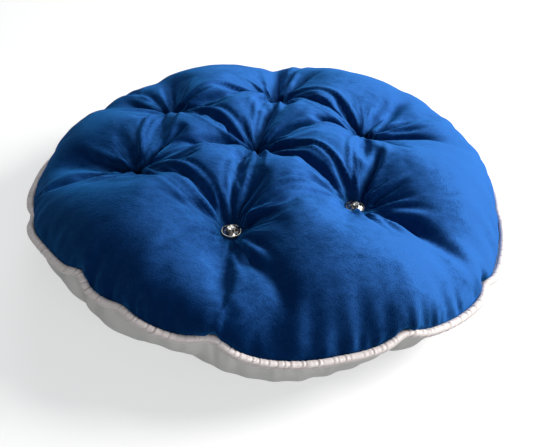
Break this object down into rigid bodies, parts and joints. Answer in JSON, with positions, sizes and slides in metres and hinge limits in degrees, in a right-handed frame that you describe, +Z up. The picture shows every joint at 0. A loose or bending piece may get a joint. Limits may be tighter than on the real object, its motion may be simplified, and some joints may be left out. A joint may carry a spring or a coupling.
{
  "type": "seat cushion",
  "caption": "Round tufted seat cushion: a domed velvet top with faceted crystal buttons sunk in it, a piped edge and a plain pale underside.",
  "frame": {"origin": "on the surface the cushion rests on, under the middle of its round outline", "axes": "+Z up through the crown of the velvet top; -Y towards a viewer who has the two nearest outer buttons left of centre and right of centre"},
  "size_m": [0.5476, 0.5476, 0.1293],
  "materials": {
    "velvet": "royal blue short-pile velvet",
    "underside_fabric": "plain matte greyish-white woven cotton",
    "piping_fabric": "pale pinkish-white satin cut on the bias",
    "piping_cord": "soft twisted cotton cord",
    "filling": "white polyester hollow-fibre wadding",
    "seam_thread": "polyester sewing thread",
    "tufting_twine": "waxed upholstery twine",
    "crystal": "clear foil-backed faceted crystal",
    "button_metal": "polished silver-coloured metal",
    "back_button": "milky white two-hole button"
  },
  "bodies": {
    "root": {"back_button_1": "back_button", "back_button_2": "back_button", "back_button_3": "back_button", "back_button_4": "back_button", "back_button_5": "back_button", "back_button_6": "back_button", "back_button_centre": "back_button", "bottom_cover": "underside_fabric", "crystal_1": "crystal", "crystal_2": "crystal", "crystal_3": "crystal", "crystal_4": "crystal", "crystal_5": "crystal", "crystal_6": "crystal", "crystal_centre": "crystal", "crystal_setting_1": "button_metal", "crystal_setting_2": "button_metal", "crystal_setting_3": "button_metal", "crystal_setting_4": "button_metal", "crystal_setting_5": "button_metal", "crystal_setting_6": "button_metal", "crystal_setting_centre": "button_metal", "filling": "filling", "piping_cord": "piping_cord", "piping_cover": "piping_fabric", "seam_thread_lower": "seam_thread", "seam_thread_upper": "seam_thread", "top_cover": "velvet", "tufting_twine_1": "tufting_twine", "tufting_twine_2": "tufting_twine", "tufting_twine_3": "tufting_twine", "tufting_twine_4": "tufting_twine", "tufting_twine_5": "tufting_twine", "tufting_twine_6": "tufting_twine", "tufting_twine_centre": "tufting_twine"}
  },
  "joints": []
}
